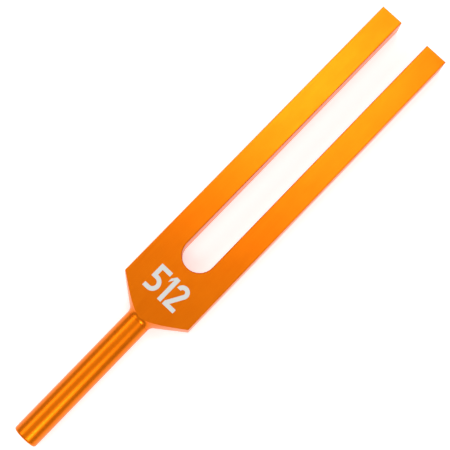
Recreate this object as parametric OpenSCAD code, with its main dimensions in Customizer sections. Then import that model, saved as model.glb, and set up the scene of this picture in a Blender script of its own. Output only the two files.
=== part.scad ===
// Tuning fork, 512 Hz: a slotted flat bar with a turned shoulder, and a round stem
// joined to it by a threaded stud. It lies on its back: +Y runs from the foot of the
// stem to the tips of the tines, +Z is up, and the origin is under its middle.

/* [Bar] */
// Width of the flat bar that the head is cut from
bar_width = 30; // [28:0.5:34]
// Thickness of the bar
bar_thickness = 10; // [9.8:0.1:12]
// Small flat that breaks each sharp edge of the head
edge_break = 0.25; // [0.1:0.05:0.4]

/* [Tines] */
// Length of a tine, from the bottom of the slot to the tip
tine_length = 116.6; // [80:0.1:170]
// Width of the slot between the tines, which has a round bottom
slot_width = 12.2; // [10:0.1:14]

/* [Shoulder] */
// Solid length of the head, from the stem to the bottom of the slot
yoke_length = 24.6; // [22:0.1:32]
// Angle between the turned shoulder and the axis of the stem
shoulder_angle = 53; // [45:1:60]
// Radius of the blend from the stem into the shoulder
shoulder_blend = 2.4; // [1:0.1:3]

/* [Stem] */
// Diameter of the stem
stem_diameter = 9.4; // [8.6:0.1:9.6]
// Length of the stem, from its foot to the head
stem_length = 54.5; // [40:0.5:80]
// Radius of the rounded edge at the foot
foot_rounding = 0.8; // [0.3:0.1:1.5]
// Small flat on the edge where the stem meets the head
seam_break = 0.1; // [0.05:0.05:0.3]

/* [Stud] */
// Diameter over the threads of the stud in the joint
stud_diameter = 5; // [4:0.5:6]
// Length of the stud, half of it in the head and half in the stem
stud_length = 20; // [14:1:24]
// Width across the flats of the hexagon socket in its end
socket_across_flats = 2.5; // [2:0.5:2.5]

/* [Pitch number] */
// Height of the digits
digit_height = 10; // [9:0.5:11]
// Width of the strokes
digit_stroke = 1.6; // [1.2:0.1:1.8]
// Depth that the digits are cut and filled to
digit_depth = 0.2; // [0.1:0.05:0.4]
// Distance from the end of the stem to the middle of the digits
digit_place = 14.9; // [14:0.1:16]

/* [Hidden] */
$fn = 96;

total_length = stem_length + yoke_length + tine_length;
foot_y = -total_length / 2;
joint_y = foot_y + stem_length;
slot_y = joint_y + yoke_length;
tip_y = -foot_y;
axis_z = bar_thickness / 2;

bar_half = bar_width / 2;
slot_radius = slot_width / 2;
stem_radius = stem_diameter / 2;
corner_radius = norm([bar_half, bar_thickness / 2]);
overshoot = 1;

stud_radius = stud_diameter / 2;
thread_clearance = 0.03;
end_clearance = 0.5;
stud_chamfer = 0.5;
socket_depth = 3;
drill_point_angle = 59;
tapped_depth = stud_length / 2 + end_clearance;

wide_digit = digit_height / 2;
narrow_digit = 2.8;
digit_gap = 0.8;
digits_width = 2 * wide_digit + narrow_digit + 2 * digit_gap;
five_bowl = digit_height * 0.305;
flag_drop = 1.7;
flag_height = 1.5;
neck_angle = 30;

// Turns a shape drawn about the Z axis so that it lies along the axis of the fork
module along_fork(y) {
    translate([0, y, axis_z]) rotate([-90, 0, 0]) children();
}

// Flat bar from the joint to the tips, with its long edges broken
module bar() {
    b = edge_break;
    h = bar_thickness / 2;
    along_fork(joint_y - overshoot)
        linear_extrude(tip_y - joint_y + overshoot)
            polygon([
                [bar_half - b, -h], [bar_half, b - h], [bar_half, h - b], [bar_half - b, h],
                [b - bar_half, h], [-bar_half, h - b], [-bar_half, b - h], [b - bar_half, -h]
            ]);
}

// What the lathe leaves: a solid cone above the stem, blended into the stem's diameter
module turned_envelope() {
    blend_x = stem_radius + shoulder_blend;
    tangent_x = blend_x - shoulder_blend * cos(shoulder_angle);
    tangent_y = shoulder_blend * sin(shoulder_angle);
    outer = corner_radius + overshoot;
    outer_y = tangent_y + (outer - tangent_x) / tan(shoulder_angle);
    along_fork(joint_y)
        rotate_extrude()
            difference() {
                polygon([
                    [0, 0], [tangent_x, 0], [tangent_x, tangent_y], [outer, outer_y],
                    [outer, tip_y - joint_y + overshoot], [0, tip_y - joint_y + overshoot]
                ]);
                intersection() {
                    translate([blend_x, 0]) circle(shoulder_blend);
                    translate([0, -overshoot]) square([blend_x, tangent_y + overshoot]);
                }
            }
}

// Slot outline, seen from the front, open past the tips
module slot_outline() {
    translate([0, slot_y + slot_radius]) circle(slot_radius);
    translate([-slot_radius, slot_y + slot_radius]) square([slot_width, tine_length]);
}

// Cuts a 45 degree flat round the slot, at the front or at the back face
module slot_break() {
    reach = edge_break + overshoot;
    translate([0, slot_y + slot_radius, 0])
        cylinder(h = reach, r1 = slot_radius + edge_break, r2 = slot_radius - overshoot);
    translate([0, tip_y + overshoot, 0]) rotate([90, 0, 0])
        linear_extrude(tip_y + overshoot - slot_y - slot_radius)
            polygon([
                [-slot_radius - edge_break, 0], [slot_radius + edge_break, 0],
                [slot_radius - overshoot, reach], [overshoot - slot_radius, reach]
            ]);
}

// Cuts a 45 degree flat along the top front edge of both tips
module tip_break() {
    b = edge_break;
    translate([-bar_half - overshoot, 0, 0]) rotate([90, 0, 90])
        linear_extrude(bar_width + 2 * overshoot)
            polygon([
                [tip_y - b - overshoot, bar_thickness + overshoot],
                [tip_y + overshoot, bar_thickness - b - overshoot],
                [tip_y + overshoot, bar_thickness + overshoot]
            ]);
}

// Repeats a cut made at the front face at the back face too
module both_faces() {
    children();
    translate([0, 0, bar_thickness]) mirror([0, 0, 1]) children();
}

// Blind tapped hole, drawn upwards from its mouth, with the point that the drill leaves
module tapped_hole() {
    r = stud_radius + thread_clearance;
    translate([0, 0, -overshoot]) cylinder(h = tapped_depth + overshoot, r = r);
    translate([0, 0, tapped_depth]) cylinder(h = r / tan(drill_point_angle), r1 = r, r2 = 0);
}

module digit_one() {
    translate([narrow_digit - digit_stroke, 0]) square([digit_stroke, digit_height]);
    polygon([
        [narrow_digit - digit_stroke, digit_height],
        [0, digit_height - flag_drop],
        [0, digit_height - flag_drop - flag_height],
        [narrow_digit - digit_stroke, digit_height - flag_height]
    ]);
}

// The bowl of the two runs into its slanting stroke at a corner too slight to see
module digit_two() {
    r = wide_digit / 2;
    inner = r - digit_stroke;
    centre = [r, digit_height - r];
    outward = [cos(neck_angle), -sin(neck_angle)];
    down = [-sin(neck_angle), -cos(neck_angle)];
    fall = (centre[1] - digit_stroke) / cos(neck_angle);
    outer_line = centre + 0.99 * r * outward;
    inner_line = centre + 0.97 * inner * outward;
    inner_foot = inner_line[1] - inner_line[0] / tan(neck_angle);
    difference() {
        union() {
            translate(centre) circle(r);
            polygon([
                centre, [-overshoot, digit_stroke / 2],
                outer_line + fall * down, outer_line
            ]);
        }
        translate(centre) circle(inner);
        polygon([
            centre, [-overshoot, centre[1]], [-overshoot, -overshoot],
            [0, -overshoot], [0, inner_foot], inner_line
        ]);
    }
    square([wide_digit, digit_stroke]);
}

module digit_five() {
    r = five_bowl;
    inner = r - digit_stroke;
    straight = wide_digit - r;
    translate([0, digit_height - digit_stroke]) square([wide_digit, digit_stroke]);
    translate([0, 2 * r - digit_stroke]) square([digit_stroke, digit_height - 2 * r + digit_stroke]);
    translate([straight, r]) intersection() {
        difference() {
            circle(r);
            circle(inner);
        }
        translate([0, -r]) square([r, 2 * r]);
    }
    square([straight, digit_stroke]);
    translate([0, 2 * r - digit_stroke]) square([straight, digit_stroke]);
}

// The digits, filled from the bottom of their cut to a given height above the face
module digits(above) {
    translate([-digits_width / 2, joint_y + digit_place - digit_height / 2, bar_thickness - digit_depth])
        linear_extrude(digit_depth + above) {
            digit_five();
            translate([wide_digit + digit_gap, 0]) digit_one();
            translate([wide_digit + narrow_digit + 2 * digit_gap, 0]) digit_two();
        }
}

// Head in one piece: two tines, the yoke between them and the turned shoulder
module fork_head() {
    color("darkorange") difference() {
        intersection() {
            bar();
            turned_envelope();
        }
        translate([0, 0, -overshoot])
            linear_extrude(bar_thickness + 2 * overshoot) slot_outline();
        both_faces() slot_break();
        both_faces() tip_break();
        along_fork(joint_y) tapped_hole();
        digits(overshoot);
    }
}

// Round stem, held in the fingers, with a rounded foot and a blind tapped hole at its top
module stem() {
    rounded = stem_radius - foot_rounding;
    color("orange") difference() {
        along_fork(foot_y)
            rotate_extrude() {
                translate([0, foot_rounding])
                    square([stem_radius, stem_length - foot_rounding - seam_break]);
                square([rounded, foot_rounding]);
                intersection() {
                    translate([rounded, foot_rounding]) circle(foot_rounding);
                    square([stem_radius, foot_rounding]);
                }
                polygon([
                    [0, stem_length - seam_break], [stem_radius, stem_length - seam_break],
                    [stem_radius - seam_break, stem_length], [0, stem_length]
                ]);
            }
        along_fork(joint_y) mirror([0, 0, 1]) tapped_hole();
    }
}

// Headless stud that joins the head and the stem, drawn over its threads
module stem_stud() {
    half = stud_length / 2;
    tip_radius = stud_radius - stud_chamfer;
    color("silver") along_fork(joint_y) difference() {
        union() {
            translate([0, 0, stud_chamfer - half])
                cylinder(h = stud_length - 2 * stud_chamfer, r = stud_radius);
            translate([0, 0, -half]) cylinder(h = stud_chamfer, r1 = tip_radius, r2 = stud_radius);
            translate([0, 0, half - stud_chamfer])
                cylinder(h = stud_chamfer, r1 = stud_radius, r2 = tip_radius);
        }
        translate([0, 0, half - socket_depth])
            cylinder(h = socket_depth + overshoot, d = socket_across_flats / cos(30), $fn = 6);
    }
}

// Pale filling of the pitch number, level with the front face
module pitch_number() {
    color("gainsboro") digits(0);
}

fork_head();
stem();
stem_stud();
pitch_number();
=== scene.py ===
import math

import bmesh
import bpy
from mathutils import Matrix, Vector


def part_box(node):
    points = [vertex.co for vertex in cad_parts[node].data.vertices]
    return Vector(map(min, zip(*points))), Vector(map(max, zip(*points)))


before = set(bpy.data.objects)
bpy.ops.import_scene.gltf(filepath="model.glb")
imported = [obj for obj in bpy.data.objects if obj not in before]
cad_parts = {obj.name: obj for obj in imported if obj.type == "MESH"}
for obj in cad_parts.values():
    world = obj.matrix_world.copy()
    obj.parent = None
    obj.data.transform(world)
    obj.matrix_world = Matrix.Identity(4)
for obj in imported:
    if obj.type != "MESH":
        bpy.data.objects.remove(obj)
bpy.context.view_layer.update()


mm = 0.001
print("frame loaded:", sorted(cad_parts))


def newMaterial(name):
    material = bpy.data.materials.new(name)
    material.use_nodes = True
    nodes = material.node_tree.nodes
    nodes.clear()
    output = nodes.new("ShaderNodeOutputMaterial")
    shader = nodes.new("ShaderNodeBsdfPrincipled")
    material.node_tree.links.new(shader.outputs["BSDF"], output.inputs["Surface"])
    return material, shader


def grainOn(material, ripples, detail=2.0, roughness=0.6):
    # ripples to a millimetre along X, Y and Z
    nodes = material.node_tree.nodes
    links = material.node_tree.links
    place = nodes.new("ShaderNodeTexCoord")
    mapping = nodes.new("ShaderNodeMapping")
    mapping.inputs["Scale"].default_value = ripples
    noise = nodes.new("ShaderNodeTexNoise")
    noise.inputs["Scale"].default_value = 1.0 / mm
    noise.inputs["Detail"].default_value = detail
    noise.inputs["Roughness"].default_value = roughness
    links.new(place.outputs["Object"], mapping.inputs["Vector"])
    links.new(mapping.outputs["Vector"], noise.inputs["Vector"])
    return noise.outputs["Fac"]


def spread(material, value, low, high, fromLow=0.3, fromHigh=0.7):
    remap = material.node_tree.nodes.new("ShaderNodeMapRange")
    remap.inputs["From Min"].default_value = fromLow
    remap.inputs["From Max"].default_value = fromHigh
    remap.inputs["To Min"].default_value = low
    remap.inputs["To Max"].default_value = high
    material.node_tree.links.new(value, remap.inputs["Value"])
    return remap.outputs["Result"]


def mathNode(material, operation, first, second=None, clamp=False):
    node = material.node_tree.nodes.new("ShaderNodeMath")
    node.operation = operation
    node.use_clamp = clamp
    material.node_tree.links.new(first, node.inputs[0])
    if second is not None:
        material.node_tree.links.new(second, node.inputs[1])
    return node


reliefHeight = 0.05 * mm  # what a relief of 1 stands for


def toolMarks(material, shader, marks, finish):
    # uneven gloss and a fine relief, both from the same marks
    low = finish["roughness"] - finish["unevenness"]
    high = finish["roughness"] + finish["unevenness"]
    links = material.node_tree.links
    links.new(spread(material, marks, low, high), shader.inputs["Roughness"])
    bump = material.node_tree.nodes.new("ShaderNodeBump")
    bump.inputs["Strength"].default_value = finish["relief"]
    bump.inputs["Distance"].default_value = reliefHeight
    links.new(marks, bump.inputs["Height"])
    links.new(bump.outputs["Normal"], shader.inputs["Normal"])


# the orange dye sits in the oxide skin of the aluminium, a little unevenly
dye = {
    "deep": (0.84, 0.166, 0.0010),
    "pale": (0.88, 0.190, 0.0020),
    "cloud": (0.25, 0.12, 0.25),  # ripples to a millimetre
    "clouding": 0.6,
    "streaking": 0.4,
    "coat": 0.05,
    "coatRoughness": 0.25,
}


def dyeIt(material, shader, marks):
    links = material.node_tree.links
    shader.inputs["Metallic"].default_value = 1.0
    shader.inputs["Coat Weight"].default_value = dye["coat"]
    shader.inputs["Coat Roughness"].default_value = dye["coatRoughness"]
    cloud = spread(material, grainOn(material, dye["cloud"], 3.0, 0.5), 0.0, dye["clouding"])
    streak = spread(material, marks, 0.0, dye["streaking"])
    share = mathNode(material, "ADD", cloud, streak, clamp=True)
    tint = material.node_tree.nodes.new("ShaderNodeMix")
    tint.data_type = "RGBA"
    tint.inputs["A"].default_value = (*dye["deep"], 1.0)
    tint.inputs["B"].default_value = (*dye["pale"], 1.0)
    links.new(share.outputs["Value"], tint.inputs["Factor"])
    links.new(tint.outputs["Result"], shader.inputs["Base Color"])


def coverNode(name, material):
    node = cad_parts[name]
    node.data.materials.clear()
    node.data.materials.append(material)


head = {
    "brushing": (3.0, 0.06, 3.0),  # grain along the tines, ripples to a millimetre
    "turning": (0.25, 5.0, 0.25),  # lathe marks on the shoulder
    "shoulderAngle": 53.0,  # degrees, from the axis of the stem
    "marksEnd": 1.6,  # mm along the fork from a sharp cone at the joint; the blended one is at 1.2
    "marksFade": 0.5,  # mm over which the lathe marks give way to the grain
    "roughness": 0.31,
    "unevenness": 0.03,
    "relief": 0.012,
}


def turnedShare(material):
    # 1 on the turned cone of the shoulder and 0 on the flat faces
    low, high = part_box("fork_head")
    stemLow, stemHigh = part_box("stem")
    slope = 1.0 / math.tan(math.radians(head["shoulderAngle"]))
    nodes = material.node_tree.nodes
    links = material.node_tree.links
    place = nodes.new("ShaderNodeTexCoord")
    fromJoint = nodes.new("ShaderNodeVectorMath")
    fromJoint.operation = "SUBTRACT"
    fromJoint.inputs[1].default_value = (0.0, low[1], (low[2] + high[2]) / 2)
    across = nodes.new("ShaderNodeVectorMath")
    across.operation = "MULTIPLY"
    across.inputs[1].default_value = (1.0, 0.0, 1.0)
    reach = nodes.new("ShaderNodeVectorMath")
    reach.operation = "LENGTH"
    split = nodes.new("ShaderNodeSeparateXYZ")
    links.new(place.outputs["Object"], fromJoint.inputs[0])
    links.new(fromJoint.outputs["Vector"], across.inputs[0])
    links.new(fromJoint.outputs["Vector"], split.inputs["Vector"])
    links.new(across.outputs["Vector"], reach.inputs[0])
    cone = mathNode(material, "MULTIPLY_ADD", reach.outputs["Value"])
    cone.inputs[1].default_value = slope
    cone.inputs[2].default_value = -slope * (stemHigh[0] - stemLow[0]) / 2
    depth = mathNode(material, "SUBTRACT", split.outputs["Y"], cone.outputs["Value"])
    fadeFrom = head["marksEnd"] * mm
    fadeTo = fadeFrom + head["marksFade"] * mm
    return spread(material, depth.outputs["Value"], 1.0, 0.0, fadeFrom, fadeTo)


def finishHead():
    material, shader = newMaterial("brushedOrange")
    marks = material.node_tree.nodes.new("ShaderNodeMix")
    links = material.node_tree.links
    links.new(turnedShare(material), marks.inputs["Factor"])
    links.new(grainOn(material, head["brushing"]), marks.inputs["A"])
    links.new(grainOn(material, head["turning"]), marks.inputs["B"])
    dyeIt(material, shader, marks.outputs["Result"])
    toolMarks(material, shader, marks.outputs["Result"], head)
    coverNode("fork_head", material)
    print("head brushed and dyed")


finishHead()

stem = {
    "turning": (0.3, 4.0, 0.3),  # lathe marks round the stem, ripples to a millimetre
    "roughness": 0.33,
    "unevenness": 0.03,
    "relief": 0.008,
}


def finishStem():
    material, shader = newMaterial("turnedOrange")
    marks = grainOn(material, stem["turning"])
    dyeIt(material, shader, marks)
    toolMarks(material, shader, marks, stem)
    coverNode("stem", material)
    print("stem turned and dyed")


finishStem()

stud = {
    "zinc": (0.55, 0.56, 0.58),
    "plating": (1.5, 1.5, 1.5),  # ripples to a millimetre
    "roughness": 0.32,
    "unevenness": 0.06,
    "relief": 0.03,
}


def finishStud():
    material, shader = newMaterial("zincPlate")
    shader.inputs["Base Color"].default_value = (*stud["zinc"], 1.0)
    shader.inputs["Metallic"].default_value = 1.0
    toolMarks(material, shader, grainOn(material, stud["plating"]), stud)
    coverNode("stem_stud", material)
    print("stud plated")


finishStud()

number = {
    "fill": (0.70, 0.71, 0.69),
    "speckle": (3.0, 3.0, 3.0),  # ripples to a millimetre
    "roughness": 0.55,
    "unevenness": 0.08,
    "relief": 0.06,
}


def finishNumber():
    material, shader = newMaterial("paleFill")
    shader.inputs["Base Color"].default_value = (*number["fill"], 1.0)
    toolMarks(material, shader, grainOn(material, number["speckle"]), number)
    coverNode("pitch_number", material)
    print("number filled")


finishNumber()

view = {
    "place": (36.43, -48.18, 375.2),  # mm, above the fork and a little to its right
    "aim": (-1.53, 1.67, 5.0),  # mm, near the middle of the fork
    "roll": 6.51,  # degrees, so that the tines point up and to the right
    "lens": 85.9,  # mm
    "sensor": 36.0,  # mm wide
    "nearest": 10,  # mm, nothing closer is drawn
}


def placeCamera():
    lens = bpy.data.cameras.new("camera")
    lens.lens = view["lens"]
    lens.sensor_width = view["sensor"]
    lens.clip_start = view["nearest"] * mm
    camera = bpy.data.objects.new("camera", lens)
    bpy.context.scene.collection.objects.link(camera)
    place = Vector(view["place"]) * mm
    look = Vector(view["aim"]) * mm - place
    level = look.to_track_quat("-Z", "Y").to_matrix()
    turn = level @ Matrix.Rotation(math.radians(view["roll"]), 3, "Z")
    camera.matrix_world = Matrix.Translation(place) @ turn.to_4x4()
    bpy.context.scene.camera = camera
    print("camera placed")


placeCamera()

floorSheet = {
    "size": 3000,  # mm, each way
    "drop": 0.05,  # mm under the fork, so that the sheet and the back face don't coincide
    "colour": (0.93, 0.93, 0.93),
    "roughness": 0.9,
    "glow": 0.45,  # the sheet is lit a little from below, which thins the shadows
}


def layFloor():
    sheet = bmesh.new()
    under = Matrix.Translation((0, 0, -floorSheet["drop"] * mm))
    half = floorSheet["size"] / 2 * mm
    bmesh.ops.create_grid(sheet, x_segments=1, y_segments=1, size=half, matrix=under)
    mesh = bpy.data.meshes.new("floor")
    sheet.to_mesh(mesh)
    sheet.free()
    floor = bpy.data.objects.new("floor", mesh)
    bpy.context.scene.collection.objects.link(floor)
    material, shader = newMaterial("paleSheet")
    shader.inputs["Base Color"].default_value = (*floorSheet["colour"], 1.0)
    shader.inputs["Roughness"].default_value = floorSheet["roughness"]
    shader.inputs["Emission Color"].default_value = (1.0, 1.0, 1.0, 1.0)
    shader.inputs["Emission Strength"].default_value = floorSheet["glow"]
    mesh.materials.append(material)
    print("floor laid")


layFloor()

room = {
    "walls": 0.50,  # brightness at floor level
    "ceiling": 0.28,  # added on the way up to straight overhead
}


def paintRoom():
    world = bpy.data.worlds.new("room")
    bpy.context.scene.world = world
    world.use_nodes = True
    nodes = world.node_tree.nodes
    links = world.node_tree.links
    nodes.clear()
    output = nodes.new("ShaderNodeOutputWorld")
    background = nodes.new("ShaderNodeBackground")
    place = nodes.new("ShaderNodeTexCoord")
    split = nodes.new("ShaderNodeSeparateXYZ")
    climb = nodes.new("ShaderNodeMath")
    climb.operation = "MULTIPLY_ADD"
    climb.inputs[1].default_value = room["ceiling"]
    climb.inputs[2].default_value = room["walls"]
    links.new(place.outputs["Generated"], split.inputs["Vector"])
    links.new(split.outputs["Z"], climb.inputs[0])
    links.new(climb.outputs["Value"], background.inputs["Strength"])
    links.new(background.outputs["Background"], output.inputs["Surface"])
    print("room painted")


paintRoom()

# place and aim in mm, size across and along the fork in mm
softboxes = {
    "tipBox": {"place": (-205, 340, 900), "aim": (0, 60, 0), "size": (340, 230), "brightness": 5.2},
    "leftBox": {"place": (-546, -123, 725), "aim": (0, -70, 0), "size": (280, 900), "brightness": 2.2},
    "rightBox": {"place": (560, -350, 820), "aim": (0, -90, 0), "size": (330, 360), "brightness": 6.5},
}


def hangSoftbox(name, box):
    light = bpy.data.lights.new(name, "AREA")
    light.shape = "RECTANGLE"
    light.size = box["size"][0] * mm
    light.size_y = box["size"][1] * mm
    light.energy = box["brightness"] * math.pi * light.size * light.size_y
    lamp = bpy.data.objects.new(name, light)
    bpy.context.scene.collection.objects.link(lamp)
    place = Vector(box["place"]) * mm
    away = (place - Vector(box["aim"]) * mm).normalized()  # a lamp shines down its own -Z
    side = Vector((0, 1, 0)).cross(away).normalized()
    turn = Matrix((side, away.cross(side), away)).transposed()
    lamp.matrix_world = Matrix.Translation(place) @ turn.to_4x4()


for name, box in softboxes.items():
    hangSoftbox(name, box)
bpy.context.scene.view_settings.view_transform = "Standard"
print("softboxes hung")
